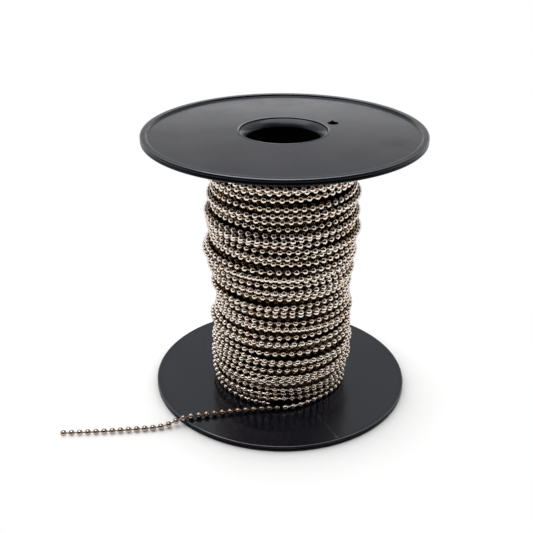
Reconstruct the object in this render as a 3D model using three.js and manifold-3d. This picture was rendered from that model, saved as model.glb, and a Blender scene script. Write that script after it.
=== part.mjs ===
// Spool of metal ball chain for roller blinds, in millimetres, +Z up.
// The spool stands on its bottom flange, and its axis is the Z axis.

import * as THREE from 'three';
import { mergeVertices } from 'three/addons/utils/BufferGeometryUtils.js';
import Module from 'manifold-3d';

const wasm = await Module();
wasm.setup();

// Spool sizes
const SPOOL_HEIGHT = 205; // over the two raised rims
const FLANGE_RADIUS = 100;
const EDGE_THICKNESS = 4.5; // rim of a flange, from its inner face to its crest
const RIM_RISE = 1.5; // crest above the face at the foot of the rim
const RIM_WIDTH = 5.2; // from the foot of the rim to the outer edge
const RIM_SLOPE = 1.0; // run of the slope between foot and crest
const EDGE_ROUND = 1.0; // rounding of the two corners of the edge
const EDGE_SHOULDER = 0.3; // part of the rounding that its middle point stands back
const EDGE_GROOVE = 0.35; // depth of the groove around the edge
const HUB_LAND = 2.0; // width of the flat ring around the bore

// Barrel sizes
const BORE_RADIUS = 26;
const BARREL_WALL = 3;
const COLLAR_RISE = 1.2; // shoulder that a flange rests against
const COLLAR_LENGTH = 2.0;
const LIP_DROP = 0.5; // flared lip below the hub land
const SEAT_DEPTH = 3.0; // conical seat in the flange hole
const SEAT_SPREAD = 1.7; // how far the seat widens
const MOUTH_STEPS = 4; // flats that make the rounded mouth
const FIT = 0.3; // gap between pieces that seat on each other

// Anchor hole for the inner end of the chain
const ANCHOR_AT_RADIUS = 39.5;
const ANCHOR_AT_ANGLE = THREE.MathUtils.degToRad(24);
const ANCHOR_HOLE_RADIUS = 4.0;
const ANCHOR_SLOT_WIDTH = 2.2; // passes a link, holds a bead
const ANCHOR_SLOT_REACH = 6.6; // from the middle of the hole

// Ball chain
const BEAD_RADIUS = 2.25;
const BEAD_WALL = 0.35;
const BEAD_HOLE_RADIUS = 0.9;
const CHAIN_PITCH = 6.0;
const LINK_RADIUS = 0.55;
const LINK_HEAD_RADIUS = 1.1;
const LINK_HEAD_NEAR = 0.35; // end of a head, from the middle of its bead
const LINK_HEAD_FAR = 1.0; // shoulder of a head, from the middle of its bead

// Winding
const WINDING_TURNS = 44; // turns in the outer layer
const WINDING_RADIUS = 53.9; // crest of a plain turn, which the bulges stand out from
const LAYER_DEPTH = 3.9; // from the crest of one layer down to the next
const TURN_UNEVEN = 0.22; // how far a turn lies off its even place, as a share of a pitch
const UNEVEN_QUICK = 1.9; // radians from turn to turn in the quick part of that unevenness
const UNEVEN_SLOW = 0.7; // the same in its slow part
const TURN_REST = 4.3; // turns closer than this ride up on each other
const RIDE_LIMIT = 2.8; // highest ride over a neighbour
const SWAY = 1.1; // how far the turns wander up and down together
const TURN_SWAY = 0.5; // how far each turn wanders on its own, twice around
const TURN_SWAY_STEP = 2.1; // radians between the wander of one turn and of the next
const SWAY_FADE = 14; // the wander dies out this close to a flange
const SWAY_TWIST = 0.045; // how fast the sway turns around with height, radians per mm
const CREST_HALF = 1.1; // half the flat on the outside of a turn
const CREST_SHARE = 0.3; // most of the way to the next turn that the flat takes
const GROOVE_OPENING = 1.6; // how much deeper a groove gets per mm between two turns

// Free end of the chain
const TAIL_BEADS = 28;
const TAIL_ROUTE = [
  [-4.0, -55.6, 6.8],
  [-12.0, -56.1, 6.8],
  [-20.0, -56.9, 6.8],
  [-28.5, -57.9, 6.8],
  [-37.5, -59.2, 6.8],
  [-46.5, -60.7, 6.8],
  [-55.5, -62.3, 6.8],
  [-64.0, -64.0, 6.8],
  [-72.5, -66.1, 6.9],
  [-79.5, -68.3, 5.5],
  [-86.0, -70.3, 3.3],
  [-93.0, -72.3, 2.5],
  [-103.0, -73.8, 2.35],
  [-115.0, -75.2, 2.35],
  [-127.0, -76.4, 2.35],
  [-139.0, -77.3, 2.35],
  [-151.0, -78.0, 2.35],
  [-164.0, -78.5, 2.35],
];

// Facets
const FLANGE_SEGMENTS = 60;
const ANCHOR_SEGMENTS = 16;
const BARREL_SEGMENTS = 40;
const WINDING_SEGMENTS = 40;
const BEAD_SEGMENTS = 8;
const BEAD_ARC_STEPS = 4; // flats along the outside of a bead, from hole to hole
const LINK_SEGMENTS = 6;
const ROUTE_STEPS = 4000; // fine steps that the bead places are picked from

const plastic = new THREE.MeshStandardMaterial({
  color: 0x1d1e21, roughness: 0.42, metalness: 0.0,
});
const barrelPlastic = new THREE.MeshStandardMaterial({
  color: 0x17181a, roughness: 0.35, metalness: 0.0,
});
const nickel = new THREE.MeshStandardMaterial({
  color: 0xb9a899, roughness: 0.22, metalness: 1.0,
});
const woundNickel = new THREE.MeshStandardMaterial({
  color: 0x93867a, roughness: 0.34, metalness: 1.0,
});

// Turns a closed profile of [radius, height] pairs about the Z axis.
// The pairs run anticlockwise, with the radius to the right.
function turned(profile, segments) {
  const points = profile.map(([r, z]) => new THREE.Vector2(r, z));
  const geometry = new THREE.LatheGeometry(points, segments);
  geometry.rotateX(Math.PI / 2);
  return geometry;
}

function closed(profile) {
  return [...profile, profile[0]];
}

function toSolid(geometry) {
  const bare = geometry.clone();
  bare.deleteAttribute('normal');
  bare.deleteAttribute('uv');
  const welded = mergeVertices(bare, 1e-4);
  return new wasm.Manifold(new wasm.Mesh({
    numProp: 3,
    vertProperties: new Float32Array(welded.attributes.position.array),
    triVerts: new Uint32Array(welded.index.array),
  }));
}

function fromSolid(solid) {
  const mesh = solid.getMesh();
  const geometry = new THREE.BufferGeometry();
  geometry.setAttribute('position', new THREE.BufferAttribute(mesh.vertProperties, 3));
  geometry.setIndex(new THREE.BufferAttribute(mesh.triVerts, 1));
  geometry.computeVertexNormals();
  return geometry;
}

function named(name, geometry, material) {
  const mesh = new THREE.Mesh(geometry, material);
  mesh.name = name;
  return mesh;
}

// Worked-out sizes
const neckRadius = BORE_RADIUS + BARREL_WALL;
const collarRadius = neckRadius + COLLAR_RISE;
const holeRadius = neckRadius + FIT;
const landInnerRadius = holeRadius + SEAT_SPREAD;
const landOuterRadius = landInnerRadius + HUB_LAND;
const lipHeight = EDGE_THICKNESS - LIP_DROP;
const seatStart = lipHeight - SEAT_DEPTH;
const footRadius = FLANGE_RADIUS - RIM_WIDTH;
const footHeight = EDGE_THICKNESS - RIM_RISE;
const innerFaceLow = EDGE_THICKNESS;
const innerFaceHigh = SPOOL_HEIGHT - EDGE_THICKNESS;

// One flange with its inner face at height 0 and its outer face up
function flangeProfile() {
  const crest = EDGE_THICKNESS;
  const middle = crest / 2;
  const shoulder = EDGE_ROUND * EDGE_SHOULDER;
  return closed([
    [holeRadius, 0],
    [FLANGE_RADIUS - EDGE_ROUND, 0],
    [FLANGE_RADIUS - shoulder, shoulder],
    [FLANGE_RADIUS, EDGE_ROUND],
    [FLANGE_RADIUS - EDGE_GROOVE, middle],
    [FLANGE_RADIUS, crest - EDGE_ROUND],
    [FLANGE_RADIUS - shoulder, crest - shoulder],
    [FLANGE_RADIUS - EDGE_ROUND, crest],
    [footRadius + RIM_SLOPE, crest],
    [footRadius, footHeight],
    [landOuterRadius, crest],
    [landInnerRadius, crest],
    [landInnerRadius, lipHeight],
    [holeRadius, seatStart],
  ]);
}

// Round hole with a narrow slot that catches the chain behind a bead
function anchorCutter() {
  const depth = EDGE_THICKNESS * 3;
  const hole = new THREE.CylinderGeometry(
    ANCHOR_HOLE_RADIUS, ANCHOR_HOLE_RADIUS, depth, ANCHOR_SEGMENTS);
  hole.rotateX(Math.PI / 2);
  const straight = ANCHOR_SLOT_REACH - ANCHOR_SLOT_WIDTH / 2;
  const slot = new THREE.BoxGeometry(ANCHOR_SLOT_WIDTH, straight, depth);
  slot.translate(0, straight / 2, 0);
  const slotEnd = new THREE.CylinderGeometry(
    ANCHOR_SLOT_WIDTH / 2, ANCHOR_SLOT_WIDTH / 2, depth, ANCHOR_SEGMENTS);
  slotEnd.rotateX(Math.PI / 2);
  slotEnd.translate(0, straight, 0);
  const cutter = toSolid(hole).add(toSolid(slot)).add(toSolid(slotEnd));
  return cutter.translate([
    ANCHOR_AT_RADIUS * Math.cos(ANCHOR_AT_ANGLE),
    ANCHOR_AT_RADIUS * Math.sin(ANCHOR_AT_ANGLE),
    0,
  ]);
}

function makeFlanges() {
  const group = new THREE.Group();
  const disc = turned(flangeProfile(), FLANGE_SEGMENTS);
  const top = named('flange_top', fromSolid(toSolid(disc).subtract(anchorCutter())), plastic);
  top.position.z = innerFaceHigh;
  const bottom = named('flange_bottom', disc, plastic);
  bottom.rotation.x = Math.PI;
  bottom.position.z = innerFaceLow;
  group.add(top, bottom);
  return group;
}

// Barrel with a flared mouth, a neck in the flange hole and a collar at each end
function makeBarrel() {
  const mouthRadius = landInnerRadius - FIT;
  const mouthRound = mouthRadius - BORE_RADIUS;
  const lip = innerFaceHigh + lipHeight;
  const seat = innerFaceHigh + seatStart;
  const collarTop = innerFaceHigh - FIT;
  const collarFoot = collarTop - COLLAR_LENGTH;
  const outside = [
    [neckRadius, collarFoot - COLLAR_RISE],
    [collarRadius, collarFoot],
    [collarRadius, collarTop],
    [neckRadius, collarTop],
    [neckRadius, seat],
    [mouthRadius, lip],
  ];
  const mouth = [];
  for (let i = 1; i <= MOUTH_STEPS; i += 1) {
    const turn = (i / MOUTH_STEPS) * (Math.PI / 2);
    mouth.push([
      mouthRadius - mouthRound * Math.sin(turn),
      lip - mouthRound * (1 - Math.cos(turn)),
    ]);
  }
  const upper = [...outside, ...mouth];
  const lower = upper.map(([r, z]) => [r, SPOOL_HEIGHT - z]).reverse();
  const profile = closed([...upper, ...lower]);
  return named('barrel', turned(profile, BARREL_SEGMENTS), barrelPlastic);
}

// How far the winding stands out from its plain radius by height, on its left and right
const BUILD = [
  [0, -0.3, -0.3],
  [18, -1.9, -1.4],
  [34, -1.4, 0.0],
  [53, -1.4, 1.6],
  [62, -1.0, -1.8],
  [74, -5.6, 0.0],
  [90, -1.2, -1.2],
  [103, -0.8, -1.4],
  [112, 1.4, -0.8],
  [122, 4.0, 1.8],
  [133, -1.6, 2.0],
  [142, 3.0, 0.4],
  [152, -1.0, 0.2],
  [163, -1.2, 0.4],
  [182, -1.6, -0.8],
  [205, -2.0, -2.0],
];

function buildRadius(z, angle) {
  let i = 0;
  while (i < BUILD.length - 2 && BUILD[i + 1][0] < z) {
    i += 1;
  }
  const [z0, left0, right0] = BUILD[i];
  const [z1, left1, right1] = BUILD[i + 1];
  const t = THREE.MathUtils.smoothstep(z, z0, z1);
  const left = THREE.MathUtils.lerp(left0, left1, t);
  const right = THREE.MathUtils.lerp(right0, right1, t);
  return WINDING_RADIUS + (left + right) / 2 + (Math.cos(angle) * (right - left)) / 2;
}

// Heights of the turns of the outer layer at one angle, from low to high
function turnHeights(low, high, angle) {
  const first = low + BEAD_RADIUS;
  const last = high - BEAD_RADIUS;
  const pitch = (last - first) / (WINDING_TURNS - 1);
  const heights = [];
  for (let k = 0; k < WINDING_TURNS; k += 1) {
    const even = first + k * pitch;
    const fade = Math.min(1, (even - first) / SWAY_FADE, (last - even) / SWAY_FADE);
    const uneven = Math.sin(UNEVEN_QUICK * k) + Math.sin(UNEVEN_SLOW * k);
    const together = SWAY * Math.sin(angle + even * SWAY_TWIST);
    const alone = TURN_SWAY * Math.sin(2 * angle + TURN_SWAY_STEP * k);
    heights.push(even + fade * (TURN_UNEVEN * pitch * uneven + together + alone));
  }
  return heights;
}

// How far each turn rides up, where it lies closer to the turn below than a strand is wide
function turnRides(heights) {
  const rides = [0];
  for (let k = 1; k < heights.length; k += 1) {
    const apart = heights[k] - heights[k - 1];
    const wanted = Math.sqrt(Math.max(0, TURN_REST ** 2 - apart ** 2));
    rides.push(THREE.MathUtils.clamp(wanted - rides[k - 1], 0, RIDE_LIMIT));
  }
  return rides;
}

// Outside of the winding at one angle, as [radius, height] pairs: a groove, then the two
// edges of a turn's crest, and so on up to the last groove
function windingOutside(low, high, angle) {
  const heights = turnHeights(low, high, angle);
  const rides = turnRides(heights);
  const crests = heights.map((z, k) => buildRadius(z, angle) + rides[k]);
  const outside = [[crests[0] - BEAD_RADIUS, low]];
  for (let k = 0; k < WINDING_TURNS; k += 1) {
    const below = heights[k] - (k > 0 ? heights[k - 1] : low);
    const above = (k < WINDING_TURNS - 1 ? heights[k + 1] : high) - heights[k];
    outside.push([crests[k], heights[k] - Math.min(CREST_HALF, CREST_SHARE * below)]);
    outside.push([crests[k], heights[k] + Math.min(CREST_HALF, CREST_SHARE * above)]);
    if (k < WINDING_TURNS - 1) {
      const open = Math.max(0, above - 2 * BEAD_RADIUS);
      const depth = Math.min(BEAD_RADIUS + GROOVE_OPENING * open, LAYER_DEPTH);
      outside.push([Math.min(crests[k], crests[k + 1]) - depth, heights[k] + above / 2]);
    }
  }
  outside.push([crests[WINDING_TURNS - 1] - BEAD_RADIUS, high]);
  return outside;
}

// The wound chain is one solid: a ring whose outside shows each turn as a ridge
function makeWinding() {
  const low = innerFaceLow + FIT;
  const high = innerFaceHigh - FIT;
  const coreRadius = neckRadius + FIT;
  const stepRadius = collarRadius + FIT;
  const stepEnd = COLLAR_LENGTH + COLLAR_RISE + FIT;
  const profile = closed([
    [stepRadius, low],
    ...windingOutside(low, high, 0),
    [stepRadius, high],
    [stepRadius, high - COLLAR_LENGTH],
    [coreRadius, high - stepEnd],
    [coreRadius, low + stepEnd],
    [stepRadius, low + COLLAR_LENGTH],
  ]);
  const geometry = turned(profile, WINDING_SEGMENTS);
  const position = geometry.attributes.position;
  for (let column = 0; column <= WINDING_SEGMENTS; column += 1) {
    const start = column * profile.length + 1;
    const angle = Math.atan2(position.getY(start), position.getX(start));
    windingOutside(low, high, angle).forEach(([radius, z], i) => {
      position.setXYZ(start + i, radius * Math.cos(angle), radius * Math.sin(angle), z);
    });
  }
  geometry.computeVertexNormals();
  return named('chain_winding', geometry, woundNickel);
}

// Hollow bead with a hole at each end, its axis along Z
function beadGeometry() {
  const inner = BEAD_RADIUS - BEAD_WALL;
  const arc = (radius, from, to, steps) => {
    const points = [];
    for (let i = 0; i <= steps; i += 1) {
      const a = THREE.MathUtils.lerp(from, to, i / steps);
      points.push([radius * Math.sin(a), -radius * Math.cos(a)]);
    }
    return points;
  };
  const open = Math.asin(BEAD_HOLE_RADIUS / BEAD_RADIUS);
  const openInside = Math.asin(BEAD_HOLE_RADIUS / inner);
  const profile = [
    ...arc(BEAD_RADIUS, open, Math.PI - open, BEAD_ARC_STEPS),
    ...arc(inner, Math.PI - openInside, openInside, BEAD_ARC_STEPS - 1),
  ];
  return turned(closed(profile), BEAD_SEGMENTS);
}

// Link with a head at each end that sits inside a bead, its axis along Z
function linkGeometry() {
  const half = CHAIN_PITCH / 2;
  const tip = half - LINK_HEAD_NEAR;
  const shoulder = half - LINK_HEAD_FAR;
  return turned([
    [0, -tip],
    [LINK_HEAD_RADIUS, -tip],
    [LINK_HEAD_RADIUS, -shoulder],
    [LINK_RADIUS, -shoulder],
    [LINK_RADIUS, shoulder],
    [LINK_HEAD_RADIUS, shoulder],
    [LINK_HEAD_RADIUS, tip],
    [0, tip],
  ], LINK_SEGMENTS);
}

// Points one pitch apart along the route, measured straight from bead to bead
function beadCentres() {
  const curve = new THREE.CatmullRomCurve3(
    TAIL_ROUTE.map(([x, y, z]) => new THREE.Vector3(x, y, z)), false, 'centripetal');
  const centres = [curve.getPoint(0)];
  for (let i = 1; i <= ROUTE_STEPS && centres.length < TAIL_BEADS; i += 1) {
    const point = curve.getPoint(i / ROUTE_STEPS);
    if (point.distanceTo(centres[centres.length - 1]) >= CHAIN_PITCH) {
      centres.push(point);
    }
  }
  return centres;
}

function makeTail() {
  const group = new THREE.Group();
  const bead = beadGeometry();
  const link = linkGeometry();
  const axis = new THREE.Vector3(0, 0, 1);
  const centres = beadCentres();
  centres.forEach((centre, i) => {
    const before = centres[Math.max(0, i - 1)];
    const after = centres[Math.min(centres.length - 1, i + 1)];
    const number = String(i + 1).padStart(2, '0');
    const ball = named(`tail_bead_${number}`, bead, nickel);
    ball.position.copy(centre);
    ball.quaternion.setFromUnitVectors(axis, after.clone().sub(before).normalize());
    group.add(ball);
    if (i > 0) {
      const pin = named(`tail_link_${String(i).padStart(2, '0')}`, link, nickel);
      pin.position.copy(centre).add(before).multiplyScalar(0.5);
      pin.quaternion.setFromUnitVectors(axis, centre.clone().sub(before).normalize());
      group.add(pin);
    }
  });
  return group;
}

const spool = new THREE.Group();
spool.add(makeFlanges(), makeBarrel(), makeWinding(), makeTail());

export default spool;
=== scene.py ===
"""Looks of a black spool wound with nickel ball chain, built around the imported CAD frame."""

import math

import bmesh
import bpy
import numpy as np
from mathutils import Matrix


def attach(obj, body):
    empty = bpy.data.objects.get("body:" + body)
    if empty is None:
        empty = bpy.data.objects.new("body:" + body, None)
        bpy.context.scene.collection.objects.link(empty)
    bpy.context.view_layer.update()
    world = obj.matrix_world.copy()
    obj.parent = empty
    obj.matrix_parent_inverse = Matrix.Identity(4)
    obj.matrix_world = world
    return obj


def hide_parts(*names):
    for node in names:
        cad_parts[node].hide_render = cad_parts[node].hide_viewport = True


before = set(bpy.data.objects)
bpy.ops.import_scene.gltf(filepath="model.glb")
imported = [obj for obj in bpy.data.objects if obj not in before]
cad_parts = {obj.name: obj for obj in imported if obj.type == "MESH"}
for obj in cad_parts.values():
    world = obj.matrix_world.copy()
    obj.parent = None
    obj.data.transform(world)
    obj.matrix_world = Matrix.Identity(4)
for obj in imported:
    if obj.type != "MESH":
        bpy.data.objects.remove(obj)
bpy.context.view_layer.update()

MM = 0.001

# Sizes in millimetres, the same as the solid model's
SPOOL_HEIGHT = 205.0
FLANGE_RADIUS = 100.0
EDGE_THICKNESS = 4.5
RIM_RISE = 1.5
RIM_WIDTH = 5.2
RIM_SLOPE = 1.0
FIT = 0.3  # gap between pieces that seat on each other
BORE_RADIUS = 26.0
NECK_RADIUS = 29.0
COLLAR_RISE = 1.2
COLLAR_LENGTH = 2.0
COLLAR_RADIUS = NECK_RADIUS + COLLAR_RISE
HOLE_RADIUS = NECK_RADIUS + FIT
SEAT_SPREAD = 1.7
HUB_LAND = 2.0
LAND_INNER = HOLE_RADIUS + SEAT_SPREAD
LAND_OUTER = LAND_INNER + HUB_LAND
LIP_DROP = 0.5
SEAT_DEPTH = 3.0
ANCHOR_DISTANCE = 39.5  # of the anchor hole from the middle
ANCHOR_ANGLE = math.radians(24)
ANCHOR_HOLE_RADIUS = 4.0
ANCHOR_SLOT_WIDTH = 2.2
ANCHOR_SLOT_REACH = 6.6
BEAD_RADIUS = 2.25
BEAD_WALL = 0.35
BEAD_HOLE_RADIUS = 0.9
CHAIN_PITCH = 6.0
LINK_RADIUS = 0.55
LINK_HALF = 2.0  # half a link's length, heads left out
WOUND_LINK_HALF = 1.15  # a shorter link for solid beads
FINE_STEPS = 12  # parts of each step of a path, to find the place of the next bead
FACE_LOW = EDGE_THICKNESS
FACE_HIGH = SPOOL_HEIGHT - EDGE_THICKNESS

# Smaller forms of the spool, in millimetres, that only the looks have in full
SHADOW_DROP = 0.5  # how much deeper than in the solids the lip and its seat lie
EDGE_ROUND = 0.95
GROOVE_HEIGHT = 2.25  # middle of the shallow groove around the edge
GROOVE_HALF = 0.7
GROOVE_DEPTH = 0.35
SHOULDER_HALF = 0.3
SHOULDER_DEPTH = 0.2
INNER_MIDDLE = 60.0  # a point on the flat inner face
INNER_BAND = 96.0  # where the smooth band at its edge begins
RIM_TOP = 0.9  # a point on the rim's flat top, and the rounding beside it
RIM_ROUND = 0.35
FOOT_ROUND = 0.4  # hollow corner at the rim's foot
FOOT_STEP = 0.1  # from the foot to the middle of that rounding
FACE_START = 1.5  # from the rim's foot to the first point of the rising face
FACE_START_RISE = 0.03
FACE_MIDDLE = 64.0  # where the face has risen half way
RING_FOOT = 0.32  # height of the raised ring around the bore over the face at LAND_OUTER
RING_RISE = 0.30  # the same right beside the ring
RING_WIDTH = 0.95
RING_ROUND = 0.38
MOUTH_EDGE = 0.1  # narrow slope on the outer edge of the barrel's mouth
MOUTH_DROP = 0.12
MARK_SINK = 0.05  # how far the moulding lines reach into the flange
MOULD_MARKS = [  # angle in degrees, inner end, outer end, width, height
    (-67.0, 56.0, 98.8, 0.6, 0.3),
    (-67.0, 95.2, 98.9, 1.1, 0.4),
    (-133.3, 95.6, 98.9, 1.0, 0.4),
]
FLANGE_SEGMENTS = 240
BARREL_SEGMENTS = 160
SHARP_ANGLE = 38.0  # degrees between two faces from which their edge is sharp

# Free end of the chain, from the winding to its tip on the floor
TAIL_BEADS = 28
TAIL_ROUTE = [
    (-4.0, -55.6, 6.8),
    (-12.0, -56.1, 6.8),
    (-20.0, -56.9, 6.8),
    (-28.5, -57.9, 6.8),
    (-37.5, -59.2, 6.8),
    (-46.5, -60.7, 6.8),
    (-55.5, -62.3, 6.8),
    (-64.0, -64.0, 6.8),
    (-72.5, -66.1, 6.9),
    (-79.5, -68.3, 5.5),
    (-86.0, -70.3, 3.3),
    (-93.0, -72.3, 2.5),
    (-103.0, -73.8, 2.35),
    (-115.0, -75.2, 2.35),
    (-127.0, -76.4, 2.35),
    (-139.0, -77.3, 2.35),
    (-151.0, -78.0, 2.35),
    (-164.0, -78.5, 2.35),
]

# Winding: the crest of a plain turn, and how far it stands out by height, left and right
WINDING_TURNS = 44
WINDING_RADIUS = 53.9
LAYER_DEPTH = 3.9  # from one layer to the next one under it
TURN_UNEVEN = 0.22  # share of the pitch by which the turns lie unevenly, in two waves
UNEVEN_QUICK = 1.9  # radians from turn to turn of each wave
UNEVEN_SLOW = 0.7
TURN_REST = 4.3  # distance from which a turn lies beside the one below it
RIDE_LIMIT = 2.8  # how far a turn rides up at most
SWAY = 1.1  # how far all turns wander up and down together, once around
TURN_SWAY = 0.5  # how far each turn wanders on its own, twice around
TURN_SWAY_STEP = 2.1  # radians from turn to turn of that wandering
SWAY_FADE = 14.0  # height from each end in which the turns come to lie evenly
SWAY_TWIST = 0.045  # how fast the sway turns around with height, radians per mm
BINS = 120  # steps around one turn
CLIMB = 0.16  # share of a turn, at the back, in which the chain climbs to the next turn
LIFT_STEPS = 13.0  # steps in which the last turn sinks from the free end's place to its own
HEM_START = math.pi / 2 + 0.3  # angle at which the turn under the last one is taken up
HEM_LENGTH = 0.43  # share of a turn
WINDING_LOW = FACE_LOW + FIT
WINDING_HIGH = FACE_HIGH - FIT
BUILD = np.array([
    (0, -0.3, -0.3), (18, -1.9, -1.4), (34, -1.4, 0.0), (53, -1.4, 1.6),
    (62, -1.0, -1.8), (74, -5.6, 0.0), (90, -1.2, -1.2), (103, -0.8, -1.4),
    (112, 1.4, -0.8), (122, 4.0, 1.8), (133, -1.6, 2.0), (142, 3.0, 0.4),
    (152, -1.0, 0.2), (163, -1.2, 0.4), (182, -1.6, -0.8), (205, -2.0, -2.0),
])

# Deeper layers of the winding, which wander at random, and the dark core behind them, which is
# painted shade
SEED = 714
INNER_START = 2.0  # angle from the start of the middle layer to that of the inner one
PITCH_SPREAD = 0.24  # of the pitch from turn to turn, where 1 is an even pitch
PITCH_LIMITS = (0.5, 1.9)
PITCH_BLEND = 30  # steps before and after over which the pitch is averaged
DRIFT_REACH = 22  # steps over which a layer drifts up or down
TREMOR_REACH = 8  # the same for a smaller, quicker drift
TREMOR_SHARE = 0.3
DRIFT_FADE = 6.0  # height from each end in which the drift grows
DEEP_RIDE_LIMIT = 1.6
CORE_RINGS = 89
CORE_SEGMENTS = 72
CORE_RIPPLE = 0.9

# Floor and backdrop
FLOOR_GREY = 0.89
FLOOR_LIFT = 0.295  # glow that lifts the open floor to the photo's near white
# Near objects the lift fades, leaving a painted shade
CORNER_SHADE_REACH = 0.03  # metres from an object in which the lift fades
CORNER_SHADE_POWER = 3.2
BACKDROP_LEVEL = 0.998
BACKDROP_FROM, BACKDROP_TO = 0.11, 0.22  # metres from the middle over which it takes over


# Materials

def shader(name, rough=0.4, metallic=0.0, colour=(0.5, 0.5, 0.5)):
    mat = bpy.data.materials.new(name)
    mat.use_nodes = True
    tree = mat.node_tree
    bsdf = next(n for n in tree.nodes if n.type == "BSDF_PRINCIPLED")
    bsdf.inputs["Base Color"].default_value = (*colour, 1.0)
    bsdf.inputs["Roughness"].default_value = rough
    bsdf.inputs["Metallic"].default_value = metallic
    return mat, tree, bsdf


def node(tree, kind, **settings):
    n = tree.nodes.new(kind)
    for key, value in settings.items():
        setattr(n, key, value)
    return n


def maths(tree, operation, a, b):
    """Value worked out from a value and another value or number."""
    n = node(tree, "ShaderNodeMath", operation=operation)
    tree.links.new(a, n.inputs[0])
    if isinstance(b, float):
        n.inputs[1].default_value = b
    else:
        tree.links.new(b, n.inputs[1])
    return n.outputs[0]


def noise(tree, where, scale, detail=2.0, rough=0.5):
    n = node(tree, "ShaderNodeTexNoise")
    n.inputs["Scale"].default_value = scale
    n.inputs["Detail"].default_value = detail
    n.inputs["Roughness"].default_value = rough
    tree.links.new(where, n.inputs["Vector"])
    return n.outputs["Fac"]


def span(tree, value, from_low, from_high, low=0.0, high=1.0):
    """Value stretched from one range to another, and held at its ends."""
    n = node(tree, "ShaderNodeMapRange")
    n.inputs["From Min"].default_value = from_low
    n.inputs["From Max"].default_value = from_high
    n.inputs["To Min"].default_value = low
    n.inputs["To Max"].default_value = high
    tree.links.new(value, n.inputs["Value"])
    return n.outputs["Result"]


def blend_colours(tree, fac, a, b):
    n = node(tree, "ShaderNodeMix", data_type="RGBA")
    tree.links.new(fac, n.inputs["Factor"])
    n.inputs[6].default_value = (*a, 1.0)
    n.inputs[7].default_value = (*b, 1.0)
    return n.outputs[2]


def black_plastic(name, rough, grain, level=0.5, dark=0.0036, light=0.0062, blue=0.005, ior=1.5):
    """Black plastic, clouded between two greys and two roughnesses, with a fine grain."""
    mat, tree, bsdf = shader(name)
    place = node(tree, "ShaderNodeTexCoord").outputs["Object"]
    cloud = noise(tree, place, 28.0, detail=4.0, rough=0.6)
    fine = noise(tree, place, 700.0)

    def cool(grey):
        return grey * 0.9, grey, grey + blue

    colour = blend_colours(tree, cloud, cool(dark), cool(light))
    bsdf.inputs["Specular Tint"].default_value = (0.86, 0.88, 1.0, 1.0)
    bsdf.inputs["Specular IOR Level"].default_value = level
    bsdf.inputs["IOR"].default_value = ior
    tree.links.new(colour, bsdf.inputs["Base Color"])
    tree.links.new(span(tree, cloud, 0.35, 0.65, *rough), bsdf.inputs["Roughness"])
    bump = node(tree, "ShaderNodeBump")
    bump.inputs["Strength"].default_value = grain
    bump.inputs["Distance"].default_value = 0.00005
    tree.links.new(fine, bump.inputs["Height"])
    tree.links.new(bump.outputs["Normal"], bsdf.inputs["Normal"])
    return mat


def nickel(name, light, dark, rough, edge=0.2):
    """Nickel plate between two tints, browner towards the edges of a bead."""
    mat, tree, bsdf = shader(name, metallic=1.0)
    bsdf.inputs["Specular Tint"].default_value = (edge, edge * 0.65, edge * 0.45, 1.0)
    place = node(tree, "ShaderNodeTexCoord").outputs["Object"]
    tint = noise(tree, place, 160.0)
    smear = noise(tree, place, 700.0)
    colour = blend_colours(tree, span(tree, tint, 0.35, 0.65), light, dark)
    tree.links.new(colour, bsdf.inputs["Base Color"])
    tree.links.new(span(tree, smear, 0.3, 0.7, *rough), bsdf.inputs["Roughness"])
    return mat


face_mat = black_plastic("satin_black_plastic", (0.15, 0.24), 0.20, dark=0.0022, light=0.0095)
rim_mat = black_plastic("smooth_black_rim", (0.16, 0.22), 0.05, level=0.45)
# Rounded edges and mould marks: lighter and glossier plastic, a painted highlight
highlight_edge_mat = black_plastic("black_edge_painted_highlight", (0.16, 0.24), 0.0, level=0.9, dark=0.026,
                         light=0.044, blue=0.003, ior=1.62)
wall_mat = black_plastic("shaded_black_edge", (0.20, 0.28), 0.0, level=0.12, blue=0.002)
mouth_mat = black_plastic("worn_black_mouth", (0.16, 0.26), 0.1, level=0.32, dark=0.016,
                          light=0.026, blue=0.004)
# Near black bore, darker than the mouth's plastic: painted shade
painted_shade_bore_mat = black_plastic("black_bore_painted_shade", (0.40, 0.50), 0.0, level=0.05, dark=0.0008,
                         light=0.0012, blue=0.0003)
# The winding's outer beads and the free end are one nickel in a lighter and a darker copy: painted
# highlight on the winding, painted shade on the free end
chain_mat = nickel("warm_nickel", (1.0, 0.94, 0.87), (0.92, 0.795, 0.68), (0.03, 0.07), 0.11)
free_end_shaded_mat = nickel("warm_nickel_free_end_painted_shade", (0.53, 0.43, 0.365), (0.40, 0.31, 0.255),
                  (0.02, 0.05), 0.0)
# Deeper turns in brown and near black copies of the nickel: painted shade
shaded_mat = nickel("warm_nickel_shaded", (0.22, 0.140, 0.085), (0.11, 0.066, 0.038), (0.08, 0.16))
painted_shade_deep_mat = nickel("warm_nickel_deep_painted_shade", (0.028, 0.019, 0.012), (0.013, 0.009, 0.006), (0.20, 0.30))
# Links in darker copies of the nickel, for the dark gaps between beads: painted shade
dark_shade_link_mat = nickel("link_nickel_dark_painted_shade", (0.26, 0.20, 0.16), (0.16, 0.12, 0.09), (0.14, 0.24))
light_shade_link_mat = nickel("link_nickel_light_painted_shade", (0.74, 0.61, 0.49), (0.46, 0.35, 0.26), (0.10, 0.20))


# Meshes

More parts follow.
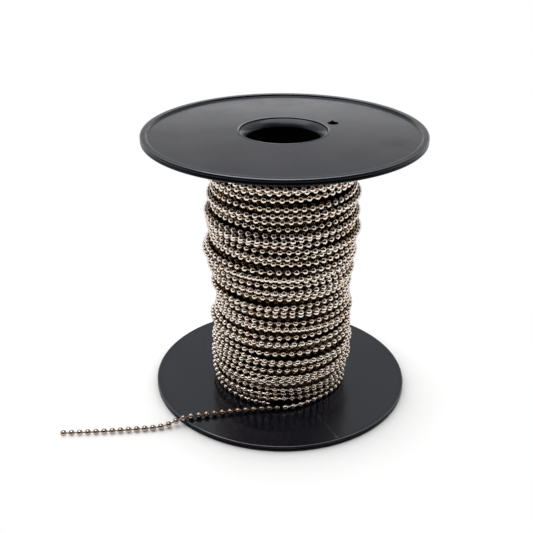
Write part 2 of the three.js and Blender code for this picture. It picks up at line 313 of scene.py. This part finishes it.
def mesh_object(name, points, faces, mats, nodes, sharp=SHARP_ANGLE, face_mats=None):
    """Object from points in millimetres, shown in place of the given nodes of the frame."""
    mesh = bpy.data.meshes.new(name)
    sizes = np.array([len(face) for face in faces])
    corners = np.concatenate(faces).astype(np.int32)
    mesh.vertices.add(len(points))
    mesh.vertices.foreach_set("co", (np.asarray(points, dtype=np.float64) * MM).ravel())
    mesh.loops.add(len(corners))
    mesh.loops.foreach_set("vertex_index", corners)
    mesh.polygons.add(len(sizes))
    starts = np.concatenate([[0], np.cumsum(sizes)[:-1]]).astype(np.int32)
    mesh.polygons.foreach_set("loop_start", starts)
    if face_mats is not None:
        mesh.polygons.foreach_set("material_index", np.asarray(face_mats, dtype=np.int32))
    mesh.update(calc_edges=True)
    mesh.validate()
    for mat in mats:
        mesh.materials.append(mat)
    mesh.shade_smooth()
    mesh.set_sharp_from_angle(angle=math.radians(sharp))
    obj = bpy.data.objects.new(name, mesh)
    bpy.context.scene.collection.objects.link(obj)
    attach(obj, "root")
    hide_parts(*nodes)
    return obj


def lathe(profile, segments):
    """Points and quads of a closed profile of (radius, height) turned about Z."""
    profile = np.asarray(profile, dtype=float)
    n = len(profile)
    turn = np.linspace(0, 2 * math.pi, segments, endpoint=False)
    r, z = profile[:, 0], profile[:, 1]
    x = np.cos(turn)[:, None] * r[None, :]
    y = np.sin(turn)[:, None] * r[None, :]
    points = np.stack([x, y, np.broadcast_to(z, x.shape)], -1).reshape(-1, 3)
    i = np.arange(segments)[:, None]
    j = np.arange(n)[None, :]
    a = i * n + j
    b = ((i + 1) % segments) * n + j
    c = ((i + 1) % segments) * n + (j + 1) % n
    d = i * n + (j + 1) % n
    faces = np.stack([a, b, c, d], -1).reshape(-1, 4)
    return points, faces


def arc(cx, cz, radius, start, end, steps):
    """Points of an arc in the (radius, height) plane, angles in degrees."""
    turn = np.radians(np.linspace(start, end, steps + 1))
    return [(cx + radius * math.cos(t), cz + radius * math.sin(t)) for t in turn]


# The flange's looks, in the order of its materials; the EDGE look is a painted highlight
FACE, RIM, EDGE, WALL = 0, 1, 2, 3


def flange_profile():
    """One flange with its inner face at height 0 and its outer face up, and its looks."""
    top = EDGE_THICKNESS
    foot = FLANGE_RADIUS - RIM_WIDTH
    face = top - RIM_RISE
    lip = top - LIP_DROP
    profile, looks = [], []

    def add(points, look):
        profile.extend(points)
        looks.extend([look] * len(points))

    add([(HOLE_RADIUS, 0.0), (INNER_MIDDLE, 0.0)], FACE)
    add([(INNER_BAND, 0.0)], RIM)
    inner = arc(FLANGE_RADIUS - EDGE_ROUND, EDGE_ROUND, EDGE_ROUND, -90, 0, 8)
    add(inner[:1], RIM)
    add(inner[1:5], EDGE)
    add(inner[5:], WALL)
    add([(FLANGE_RADIUS, GROOVE_HEIGHT - GROOVE_HALF),
         (FLANGE_RADIUS - SHOULDER_DEPTH, GROOVE_HEIGHT - SHOULDER_HALF),
         (FLANGE_RADIUS - GROOVE_DEPTH, GROOVE_HEIGHT),
         (FLANGE_RADIUS - SHOULDER_DEPTH, GROOVE_HEIGHT + SHOULDER_HALF),
         (FLANGE_RADIUS, GROOVE_HEIGHT + GROOVE_HALF)], WALL)
    outer = arc(FLANGE_RADIUS - EDGE_ROUND, top - EDGE_ROUND, EDGE_ROUND, 0, 90, 9)
    add(outer[:4], WALL)
    add(outer[4:9], EDGE)
    add(outer[9:], RIM)
    add([(foot + RIM_SLOPE + RIM_TOP, top)], RIM)
    band = arc(foot + RIM_SLOPE + RIM_ROUND, top - RIM_ROUND, RIM_ROUND, 90, 160, 5)
    add(band[:5], EDGE)
    add(band[5:], RIM)
    add(arc(foot - FOOT_STEP, face + FOOT_ROUND, FOOT_ROUND, -20, -90, 4), RIM)
    add([(foot - FACE_START, face + FACE_START_RISE), (FACE_MIDDLE, (face + top) / 2),
         (LAND_OUTER, top - RING_FOOT), (LAND_INNER + RING_WIDTH, top - RING_RISE)], FACE)
    ring = arc(LAND_INNER + RING_ROUND, top - RING_ROUND, RING_ROUND, 60, 180, 8)
    add(ring[:6], EDGE)
    add(ring[6:], WALL)
    add([(LAND_INNER, lip - SHADOW_DROP), (HOLE_RADIUS, lip - SEAT_DEPTH)], WALL)
    return profile, looks


def cutter(profile_xy, low, high):
    """Upright prism over a closed outline, as a throwaway object."""
    bm = bmesh.new()
    lower = [bm.verts.new((x * MM, y * MM, low * MM)) for x, y in profile_xy]
    upper = [bm.verts.new((x * MM, y * MM, high * MM)) for x, y in profile_xy]
    n = len(lower)
    bm.faces.new(lower[::-1])
    bm.faces.new(upper)
    for i in range(n):
        bm.faces.new((lower[i], lower[(i + 1) % n], upper[(i + 1) % n], upper[i]))
    bmesh.ops.recalc_face_normals(bm, faces=bm.faces)
    mesh = bpy.data.meshes.new("anchor_cutter")
    bm.to_mesh(mesh)
    bm.free()
    obj = bpy.data.objects.new("anchor_cutter", mesh)
    bpy.context.scene.collection.objects.link(obj)
    return obj


def keyhole():
    """Outline of a round hole with a narrow slot on its far side."""
    half = ANCHOR_SLOT_WIDTH / 2
    straight = ANCHOR_SLOT_REACH - half
    meet = math.acos(half / ANCHOR_HOLE_RADIUS)
    cx = ANCHOR_DISTANCE * math.cos(ANCHOR_ANGLE)
    cy = ANCHOR_DISTANCE * math.sin(ANCHOR_ANGLE)
    outline = []
    for t in np.linspace(math.pi - meet, 2 * math.pi + meet, 33):
        outline.append((cx + ANCHOR_HOLE_RADIUS * math.cos(t), cy + ANCHOR_HOLE_RADIUS * math.sin(t)))
    for t in np.linspace(0, math.pi, 11):
        outline.append((cx + half * math.cos(t), cy + straight + half * math.sin(t)))
    return outline


def make_flanges():
    profile, looks = flange_profile()
    points, faces = lathe(profile, FLANGE_SEGMENTS)
    kinds = np.tile(looks, FLANGE_SEGMENTS)
    mats = [face_mat, rim_mat, highlight_edge_mat, wall_mat]
    top = points + np.array([0, 0, FACE_HIGH])
    upper = mesh_object("flange_top_skin", top, faces, mats,
                        ["flange_top"], face_mats=kinds)
    tool = cutter(keyhole(), FACE_HIGH - 3, SPOOL_HEIGHT + 3)
    mod = upper.modifiers.new("hole", "BOOLEAN")
    mod.operation = "DIFFERENCE"
    mod.solver = "EXACT"
    mod.object = tool
    graph = bpy.context.evaluated_depsgraph_get()
    cut = bpy.data.meshes.new_from_object(upper.evaluated_get(graph))
    upper.modifiers.clear()
    old = upper.data
    upper.data = cut
    cut.name = "flange_top_skin"
    bpy.data.meshes.remove(old)
    bpy.data.objects.remove(tool)
    cut.shade_smooth()
    cut.set_sharp_from_angle(angle=math.radians(SHARP_ANGLE))

    # The bottom flange is the same disc turned over
    low = points * np.array([1, -1, -1]) + np.array([0, 0, FACE_LOW])
    mesh_object("flange_bottom_skin", low, faces, mats, ["flange_bottom"],
                face_mats=kinds)


def make_mould_marks():
    """Thin moulded ridge on the bottom flange, and small nubs near its rim."""
    up = np.array([0.0, 0.0, 1.0])
    points, faces = [], []
    for angle, inner, outer, wide, tall in MOULD_MARKS:
        turn = math.radians(angle)
        along = np.array([math.cos(turn), math.sin(turn), 0])
        side = np.array([-math.sin(turn), math.cos(turn), 0]) * wide / 2
        base = len(points)
        for reach in (inner, outer):
            foot = along * reach + up * (FACE_LOW - MARK_SINK)
            crest = foot + up * tall
            points += [foot - side, crest - side * 0.5, crest + side * 0.5, foot + side]
        faces += [(base, base + 4, base + 5, base + 1), (base + 1, base + 5, base + 6, base + 2),
                  (base + 2, base + 6, base + 7, base + 3), (base + 3, base + 7, base + 4, base),
                  (base, base + 1, base + 2, base + 3), (base + 7, base + 6, base + 5, base + 4)]
    # The marks are in the lighter edge plastic, a painted highlight
    mesh_object("flange_mould_marks", points, faces, [highlight_edge_mat],
                ["flange_bottom"], sharp=30.0)


def make_barrel():
    mouth = LAND_INNER - FIT
    flare = mouth - BORE_RADIUS
    lip = SPOOL_HEIGHT - LIP_DROP
    seat = lip - SEAT_DEPTH
    collar = FACE_HIGH - FIT
    lip -= SHADOW_DROP
    upper = [(NECK_RADIUS, collar - (COLLAR_LENGTH + COLLAR_RISE)),
             (COLLAR_RADIUS, collar - COLLAR_LENGTH), (COLLAR_RADIUS, collar),
             (NECK_RADIUS, collar), (NECK_RADIUS, seat), (mouth, lip - MOUTH_DROP)]
    # The mouth is a cone with a light bulge
    start, end = math.radians(20), math.radians(70)
    bulge = (flare - MOUTH_EDGE) / (math.sin(end) - math.sin(start))
    for t in np.linspace(start, end, 11):
        upper.append((mouth - MOUTH_EDGE - bulge * (math.sin(t) - math.sin(start)),
                      lip - bulge * (math.cos(start) - math.cos(t))))
    lower = [(r, SPOOL_HEIGHT - z) for r, z in reversed(upper)]
    points, faces = lathe(upper + lower, BARREL_SEGMENTS)
    # Only the bore's long wall, between the two mouths, has the second material, a near black painted
    # shade
    looks = [0] * (len(upper) - 1) + [1] + [0] * len(lower)
    mesh_object("barrel_skin", points, faces, [mouth_mat, painted_shade_bore_mat],
                ["barrel"], face_mats=np.tile(looks, BARREL_SEGMENTS))


# Chain: beads and links copied along a path

def bead_shape(around, along, hollow=False):
    """Ball whose holes lie on the X axis, as points and quads or triangles."""
    opening = math.asin(BEAD_HOLE_RADIUS / BEAD_RADIUS)
    rings = [(BEAD_RADIUS * math.sin(t), -BEAD_RADIUS * math.cos(t))
             for t in np.linspace(opening, math.pi - opening, along + 1)]
    if hollow:
        inner = BEAD_RADIUS - BEAD_WALL
        mouth = math.asin(BEAD_HOLE_RADIUS / inner)
        rings += [(inner * math.sin(t), -inner * math.cos(t))
                  for t in np.linspace(math.pi - mouth, mouth, along // 2 + 1)]
    points, quads = lathe(rings, around)
    points = np.stack([points[:, 2], points[:, 0], points[:, 1]], -1)
    if hollow:
        return points, quads
    # Close each hole of a solid ball with a shallow dish
    n = len(rings)
    keep = [quad for quad in quads if {quad[0] % n, quad[3] % n} != {0, n - 1}]
    tip = BEAD_RADIUS * math.cos(opening) - BEAD_WALL
    points = np.vstack([points, [[-tip, 0, 0], [tip, 0, 0]]])
    low, high = len(points) - 2, len(points) - 1
    for i in range(around):
        k = (i + 1) % around
        keep.append((i * n, low, low, k * n))
        keep.append((i * n + n - 1, k * n + n - 1, high, high))
    return points, np.array(keep)


def link_shape(sides, half):
    """Short closed rod along X between two beads."""
    first_corner = 0.3
    turn = np.linspace(0, 2 * math.pi, sides, endpoint=False) + first_corner
    ring = np.stack([np.zeros(sides), np.cos(turn), np.sin(turn)], -1) * LINK_RADIUS
    points = np.vstack([ring - [half, 0, 0], ring + [half, 0, 0], [[-half, 0, 0], [half, 0, 0]]])
    faces = []
    for i in range(sides):
        k = (i + 1) % sides
        faces.append((i, k, sides + k, sides + i))
        faces.append((k, i, 2 * sides, 2 * sides))
        faces.append((sides + i, sides + k, 2 * sides + 1, 2 * sides + 1))
    return points, np.array(faces)


def frames_along(direction):
    """Rotation matrices whose X axis is the given direction and whose Z axis leans up."""
    x = direction / np.linalg.norm(direction, axis=1)[:, None]
    up = np.tile([0.0, 0.0, 1.0], (len(x), 1))
    y = np.cross(up, x)
    y /= np.linalg.norm(y, axis=1)[:, None]
    z = np.cross(x, y)
    return np.stack([x, y, z], -1)


def neighbours(places):
    """The places before and after each place, with both ends carried straight on."""
    before = np.vstack([places[:1] * 2 - places[1:2], places[:-1]])
    after = np.vstack([places[1:], places[-1:] * 2 - places[-2:-1]])
    return before, after


def copies(shape, turns, centres):
    """Points and faces of a shape copied with each turn to each centre."""
    points, faces = shape
    out = np.einsum("nij,pj->npi", turns, points) + centres[:, None, :]
    shift = (np.arange(len(centres)) * len(points))[:, None, None]
    return out.reshape(-1, 3), (faces[None] + shift).reshape(-1, faces.shape[1])


def clean_faces(faces):
    """Quads with a repeated corner become triangles."""
    return [tuple(f) if len(set(f)) == 4 else tuple(dict.fromkeys(f)) for f in faces.tolist()]


def chain_mesh(centres, before, after, bead, link, steps):
    """Points, faces and looks of beads at the centres, and of a link for each step onward."""
    points, faces = copies(bead, frames_along(after - before), centres)
    kinds = [0] * len(faces)
    faces = clean_faces(faces)
    if steps:
        start, end = centres[:steps], after[:steps]
        pins, pin_faces = copies(link, frames_along(end - start), (start + end) / 2)
        faces += clean_faces(pin_faces + len(points))
        kinds += [1] * len(pin_faces)
        points = np.vstack([points, pins])
    return points, faces, kinds


# The winding: layers of turns, each turn riding up where it crowds the one below it

def smooth(share):
    """Share from 0 to 1 with soft ends."""
    return share * share * (3 - 2 * share)


def build_radius(z, angle):
    """Crest of a plain turn at each height and angle."""
    z = np.asarray(z, dtype=float)
    i = np.clip(np.searchsorted(BUILD[:, 0], z) - 1, 0, len(BUILD) - 2)
    low, high = BUILD[i], BUILD[i + 1]
    t = smooth(np.clip((z - low[..., 0]) / (high[..., 0] - low[..., 0]), 0, 1))
    left = low[..., 1] + (high[..., 1] - low[..., 1]) * t
    right = low[..., 2] + (high[..., 2] - low[..., 2]) * t
    return WINDING_RADIUS + (left + right) / 2 + np.cos(angle) * (right - left) / 2


def turn_heights(angle):
    """Heights of the outer turns, one row for each angle."""
    first, last = WINDING_LOW + BEAD_RADIUS, WINDING_HIGH - BEAD_RADIUS
    k = np.arange(WINDING_TURNS)
    pitch = (last - first) / (WINDING_TURNS - 1)
    even = first + k * pitch
    fade = np.minimum(1, np.minimum(even - first, last - even) / SWAY_FADE)
    uneven = np.sin(UNEVEN_QUICK * k) + np.sin(UNEVEN_SLOW * k)
    together = SWAY * np.sin(angle[:, None] + even * SWAY_TWIST)
    alone = TURN_SWAY * np.sin(2 * angle[:, None] + TURN_SWAY_STEP * k)
    return even + fade * (TURN_UNEVEN * pitch * uneven + together + alone)


def turn_rides(heights):
    """How far each turn rides up on the one below it."""
    rides = np.zeros_like(heights)
    for k in range(1, heights.shape[1]):
        apart = heights[:, k] - heights[:, k - 1]
        wanted = np.sqrt(np.maximum(0, TURN_REST ** 2 - apart ** 2))
        rides[:, k] = np.clip(wanted - rides[:, k - 1], 0, RIDE_LIMIT)
    return rides


def strand_turns(start, samples):
    """Angle, lower turn and share of the next turn for samples along a strand."""
    step = np.arange(samples) / BINS
    angle = start + step * 2 * math.pi
    passes = (angle - math.pi / 2) / (2 * math.pi)
    passes = passes - math.floor(passes[0])
    nearest = np.round(passes)
    share = smooth(np.clip((passes - nearest) / CLIMB + 0.5, 0, 1))
    return angle, nearest.astype(int) - 1, share


def outer_strand(start, samples):
    """Angle, radius and height of bead centres along the outer layer, turn by turn."""
    angle, lower, share = strand_turns(start, samples)
    heights = turn_heights(angle)
    crests = build_radius(heights, angle[:, None]) + turn_rides(heights)
    row = np.arange(samples)
    a = np.clip(lower, 0, WINDING_TURNS - 1)
    b = np.clip(lower + 1, 0, WINDING_TURNS - 1)
    z = heights[row, a] * (1 - share) + heights[row, b] * share
    r = crests[row, a] * (1 - share) + crests[row, b] * share
    return angle, r - BEAD_RADIUS, z


def smooth_noise(rng, count, reach):
    """Random wander of unit spread with the given correlation length in samples."""
    margin = 4 * reach
    raw = rng.normal(size=count + 2 * margin)
    kernel = np.exp(-0.5 * (np.arange(-margin, margin + 1) / reach) ** 2)
    out = np.convolve(raw, kernel, "same")[margin:margin + count]
    return out / (out.std() + 1e-9)


def deep_strand(rng, start, depth, downward):
    """Radius and height along a deeper layer, which wanders on its own."""
    low, high = WINDING_LOW + BEAD_RADIUS, WINDING_HIGH - BEAD_RADIUS
    turns = WINDING_TURNS - 1
    count = turns * BINS + 1
    step = np.repeat(np.clip(rng.normal(1.0, PITCH_SPREAD, turns), *PITCH_LIMITS), BINS)
    blend = 2 * PITCH_BLEND + 1
    step = np.concatenate([step[:PITCH_BLEND], step, step[-PITCH_BLEND:]])
    step = np.convolve(step, np.ones(blend) / blend, "same")[PITCH_BLEND:-PITCH_BLEND]
    z = np.concatenate([[0], np.cumsum(step)])
    z = low + (high - low) * z / z[-1]
    drift = smooth_noise(rng, count, DRIFT_REACH)
    drift += TREMOR_SHARE * smooth_noise(rng, count, TREMOR_REACH)
    fade = np.clip(np.minimum(z - low, high - z) / DRIFT_FADE, 0, 1)
    z = np.clip(z + drift * fade, low, high)
    angle = start + np.arange(count) / BINS * 2 * math.pi
    ride = np.zeros(count)
    for i in range(BINS, count):
        apart = min(TURN_REST, abs(z[i] - z[i - BINS]))
        wanted = math.sqrt(TURN_REST ** 2 - apart ** 2)
        ride[i] = min(DEEP_RIDE_LIMIT, max(0.0, wanted - ride[i - BINS]))
    if downward:
        z, ride = z[::-1], ride[::-1]
    return angle, build_radius(z, angle) - BEAD_RADIUS - depth + ride, z


def strand_points(angle, radius, heights):
    return np.stack([radius * np.cos(angle), radius * np.sin(angle), heights], -1)


def beads_on(points):
    """Bead places one pitch apart along a fine path."""
    fine = []
    for a, b in zip(points[:-1], points[1:]):
        t = np.linspace(0, 1, FINE_STEPS, endpoint=False)[:, None]
        fine.append(a + (b - a) * t)
    fine = np.vstack(fine + [points[-1:]])
    places = [fine[0]]
    for p in fine:
        if np.dot(p - places[-1], p - places[-1]) >= CHAIN_PITCH ** 2:
            places.append(p)
    return np.array(places)


def make_winding():
    rng = np.random.default_rng(SEED)
    leave = math.atan2(TAIL_ROUTE[0][1], TAIL_ROUTE[0][0])
    # The last turn starts where the free end comes off, at the front of the bottom flange
    angle, radius, height = outer_strand(leave, int((WINDING_TURNS - 0.5) * BINS))
    lift = smooth(np.clip(1 - np.arange(len(radius)) / LIFT_STEPS, 0, 1))
    radius = radius * (1 - lift) + math.hypot(TAIL_ROUTE[0][0], TAIL_ROUTE[0][1]) * lift
    outer = strand_points(angle, radius, height)
    outer[0] = TAIL_ROUTE[0]
    # The turn under it comes round the left side and ends beneath
    hem = strand_points(*outer_strand(HEM_START, int(HEM_LENGTH * BINS)))
    middle = strand_points(*deep_strand(rng, leave, LAYER_DEPTH, True))
    inner = strand_points(*deep_strand(rng, leave + INNER_START, 2 * LAYER_DEPTH, False))
    link = link_shape(5, WOUND_LINK_HALF)
    # The middle and inner layers take darker copies of the nickel, a painted shade
    # The deepest layer shows no links, so it has none
    for name, path, bead, mats, cuts, linked in (
            ("winding_outer", outer, bead_shape(12, 6), [chain_mat, light_shade_link_mat], 4, True),
            ("winding_hem", hem, bead_shape(12, 6), [chain_mat, light_shade_link_mat], 1, True),
            ("winding_middle", middle, bead_shape(9, 5), [shaded_mat, painted_shade_deep_mat], 3, True),
            ("winding_inner", inner, bead_shape(7, 4), [painted_shade_deep_mat], 2, False)):
        places = beads_on(path)
        before, after = neighbours(places)
        if path is outer:
            # The first place is the free end's first bead
            places, before, after = places[1:], before[1:], after[1:]
        edges = np.linspace(0, len(places), cuts + 1).astype(int)
        for i in range(cuts):
            s = slice(edges[i], edges[i + 1])
            steps = len(places[s]) if linked else 0
            points, faces, kinds = chain_mesh(places[s], before[s], after[s], bead, link, steps)
            mesh_object(f"{name}_{i + 1}", points, faces, mats,
                        ["chain_winding"], sharp=50.0, face_mats=kinds)


def make_core():
    """Dark body of the deeper turns, a painted shade, seen only through the gaps."""
    heights = np.linspace(WINDING_LOW, WINDING_HIGH, CORE_RINGS)
    around = CORE_SEGMENTS
    turn = np.linspace(0, 2 * math.pi, around, endpoint=False)
    rings = []
    for i, z in enumerate(heights):
        ripple = CORE_RIPPLE if i % 2 else 0.0
        r = build_radius(np.full(around, z), turn) - 3 * LAYER_DEPTH + ripple
        rings.append(strand_points(turn, r, np.full(around, z)))
    # Closed along the barrel
    for z in (heights[-1], heights[0]):
        rings.append(strand_points(turn, COLLAR_RADIUS + FIT, np.full(around, z)))
    points = np.concatenate(rings)
    faces = []
    n = len(rings)
    for k in range(n):
        m = (k + 1) % n
        for i in range(around):
            j = (i + 1) % around
            faces.append((k * around + i, k * around + j, m * around + j, m * around + i))
    mesh_object("winding_core_painted_shade", points, faces, [painted_shade_deep_mat], ["chain_winding"],
                sharp=60.0)


# Free end of the chain

def catmull(points, steps):
    """Smooth path through the points, centripetal, the same as the solid model's."""
    p = np.asarray(points, dtype=float)
    p = np.vstack([p[:1] * 2 - p[1:2], p, p[-1:] * 2 - p[-2:-1]])
    out = []
    for i in range(1, len(p) - 2):
        p0, p1, p2, p3 = p[i - 1:i + 3]
        t0 = 0.0
        t1 = t0 + np.linalg.norm(p1 - p0) ** 0.5
        t2 = t1 + np.linalg.norm(p2 - p1) ** 0.5
        t3 = t2 + np.linalg.norm(p3 - p2) ** 0.5
        t = np.linspace(t1, t2, steps, endpoint=False)[:, None]
        a1 = (t1 - t) / (t1 - t0) * p0 + (t - t0) / (t1 - t0) * p1
        a2 = (t2 - t) / (t2 - t1) * p1 + (t - t1) / (t2 - t1) * p2
        a3 = (t3 - t) / (t3 - t2) * p2 + (t - t2) / (t3 - t2) * p3
        b1 = (t2 - t) / (t2 - t0) * a1 + (t - t0) / (t2 - t0) * a2
        b2 = (t3 - t) / (t3 - t1) * a2 + (t - t1) / (t3 - t1) * a3
        out.append((t2 - t) / (t2 - t1) * b1 + (t - t1) / (t2 - t1) * b2)
    out.append(p[-2:-1])
    return np.vstack(out)


def make_tail():
    places = beads_on(catmull(TAIL_ROUTE, 60))[:TAIL_BEADS]
    before, after = neighbours(places)
    points, faces, kinds = chain_mesh(places, before, after, bead_shape(24, 14, hollow=True),
                                      link_shape(12, LINK_HALF), TAIL_BEADS - 1)
    nodes = [f"tail_bead_{i:02d}" for i in range(1, TAIL_BEADS + 1)]
    nodes += [f"tail_link_{i:02d}" for i in range(1, TAIL_BEADS)]
    # The free end's beads and links are darker copies of the nickel, a painted shade
    tail = mesh_object("chain_tail", points, faces, [free_end_shaded_mat, dark_shade_link_mat], nodes,
                       sharp=50.0, face_mats=kinds)


# Camera, matched to the photo

def placed(right, up, forward, place):
    """Matrix of a camera or lamp at a place in metres, looking forward."""
    rows = zip(right, up, -forward, place)
    return Matrix((*rows, (0, 0, 0, 1)))


def make_camera():
    data = bpy.data.cameras.new("camera")
    cam = bpy.data.objects.new("camera", data)
    bpy.context.scene.collection.objects.link(cam)
    # In pixels of the photo
    width, focal = 533.0, 809.14
    right_shift, up_shift = 23.54, 66.27
    data.sensor_width = 36.0
    data.sensor_fit = "HORIZONTAL"
    data.lens = data.sensor_width * focal / width
    data.shift_x = right_shift / width
    data.shift_y = up_shift / width
    data.clip_start = 0.01
    data.clip_end = 40.0
    elevation, roll = math.radians(30.743), math.radians(-0.569)
    forward = np.array([0.0, math.cos(elevation), -math.sin(elevation)])
    level = np.array([1.0, 0.0, 0.0])
    upright = np.cross(level, forward)
    right = level * math.cos(roll) + upright * math.sin(roll)
    up = -level * math.sin(roll) + upright * math.cos(roll)
    place = np.array([-29.69, -556.72, 371.77]) * MM
    cam.matrix_world = placed(right, up, forward, place)
    bpy.context.scene.camera = cam


# Stage and light

def shown_rays(tree):
    """1 for rays that show the backdrop: straight, mirrored or through glass."""
    path = node(tree, "ShaderNodeLightPath").outputs
    mirrored = maths(tree, "MAXIMUM", path["Is Camera Ray"], path["Is Glossy Ray"])
    return maths(tree, "MAXIMUM", mirrored, path["Is Transmission Ray"])


def floor_material():
    """Pale floor, lifted a little but not in corners, where that leaves a painted shade, and fading
    to a white backdrop.
    """
    mat, tree, bsdf = shader("pale_floor", rough=0.6, colour=(FLOOR_GREY,) * 3)
    shown = shown_rays(tree)
    # The glow is taken away near objects by their occlusion, a painted contact shade
    corner = node(tree, "ShaderNodeAmbientOcclusion")
    corner.inputs["Distance"].default_value = CORNER_SHADE_REACH
    unshaded_floor = maths(tree, "POWER", corner.outputs["AO"], CORNER_SHADE_POWER)
    lift = node(tree, "ShaderNodeEmission")
    strength = maths(tree, "MULTIPLY", maths(tree, "MULTIPLY", shown, FLOOR_LIFT), unshaded_floor)
    tree.links.new(strength, lift.inputs["Strength"])
    near = node(tree, "ShaderNodeAddShader")
    tree.links.new(bsdf.outputs[0], near.inputs[0])
    tree.links.new(lift.outputs[0], near.inputs[1])
    far = node(tree, "ShaderNodeEmission")
    far.inputs["Strength"].default_value = BACKDROP_LEVEL
    distance = node(tree, "ShaderNodeVectorMath", operation="LENGTH")
    tree.links.new(node(tree, "ShaderNodeTexCoord").outputs["Object"], distance.inputs[0])
    fade = span(tree, distance.outputs["Value"], BACKDROP_FROM, BACKDROP_TO)
    mix = node(tree, "ShaderNodeMixShader")
    tree.links.new(maths(tree, "MULTIPLY", fade, shown), mix.inputs[0])
    tree.links.new(near.outputs[0], mix.inputs[1])
    tree.links.new(far.outputs[0], mix.inputs[2])
    out = next(n for n in tree.nodes if n.type == "OUTPUT_MATERIAL")
    tree.links.new(mix.outputs[0], out.inputs["Surface"])
    return mat


def make_stage():
    """Floor that ends behind the camera, so that the beads mirror the dark there."""
    half, front, height = 12.0, -0.60, -0.00005
    bm = bmesh.new()
    corners = ((-half, front), (half, front), (half, half), (-half, half))
    bm.faces.new([bm.verts.new((x, y, height)) for x, y in corners])
    mesh = bpy.data.meshes.new("floor")
    bm.to_mesh(mesh)
    bm.free()
    mesh.materials.append(floor_material())
    floor = bpy.data.objects.new("floor", mesh)
    bpy.context.scene.collection.objects.link(floor)


def ramp(tree, value, stops):
    """Colour by value, straight between stops of a place, a level and a tint."""
    n = node(tree, "ShaderNodeValToRGB")
    tree.links.new(value, n.inputs[0])
    band = n.color_ramp
    while len(band.elements) < len(stops):
        band.elements.new(0.5)
    for element, (place, level, tint) in zip(band.elements, stops):
        element.position = place
        element.color = (*(level * share for share in tint), 1.0)
    return n.outputs["Color"]


def make_world():
    """Studio that is white low down, soft above, and dark where the photographer stands."""
    world = bpy.data.worlds.new("studio")
    bpy.context.scene.world = world
    world.use_nodes = True
    tree = world.node_tree
    tree.nodes.clear()
    out = node(tree, "ShaderNodeOutputWorld")
    way = node(tree, "ShaderNodeTexCoord").outputs["Generated"]
    parts = node(tree, "ShaderNodeSeparateXYZ")
    tree.links.new(way, parts.inputs[0])
    rise = span(tree, parts.outputs["Z"], -1.0, 1.0)
    white, brown = (1.0, 1.0, 1.0), (1.0, 0.55, 0.28)
    behind = ramp(tree, rise, [(0.0, 1.0, white), (0.622, 1.04, white), (0.637, 0.36, white),
                               (0.655, 0.40, white), (0.672, 0.50, white), (0.72, 0.50, white),
                               (0.757, 0.59, white), (0.80, 0.80, white), (0.86, 0.80, white),
                               (0.94, 1.1, white)])
    ahead = ramp(tree, rise, [(0.0, 0.016, brown), (0.95, 0.016, brown), (0.98, 1.1, white)])
    side = span(tree, parts.outputs["Y"], -0.35, -0.10)
    level = node(tree, "ShaderNodeMix", data_type="RGBA")
    tree.links.new(side, level.inputs["Factor"])
    tree.links.new(ahead, level.inputs[6])
    tree.links.new(behind, level.inputs[7])
    studio = node(tree, "ShaderNodeBackground")
    tree.links.new(level.outputs[2], studio.inputs["Color"])
    tree.links.new(studio.outputs[0], out.inputs["Surface"])


def make_lamp():
    """One large soft lamp overhead, aimed at the foot of the spool."""
    data = bpy.data.lights.new("overhead", "AREA")
    data.shape = "RECTANGLE"
    data.size, data.size_y = 1.6, 1.4
    data.energy = 16.0
    lamp = bpy.data.objects.new("overhead", data)
    bpy.context.scene.collection.objects.link(lamp)
    place = np.array([-0.15, 0.1, 1.5])
    forward = -place / np.linalg.norm(place)
    right = np.cross(forward, [0, 0, 1])
    right /= np.linalg.norm(right)
    lamp.matrix_world = placed(right, np.cross(right, forward), forward, place)


make_camera()
make_tail()
make_flanges()
make_mould_marks()
make_barrel()
make_winding()
make_core()
make_stage()
make_world()
make_lamp()

scene = bpy.context.scene
scene.view_settings.view_transform = "Standard"
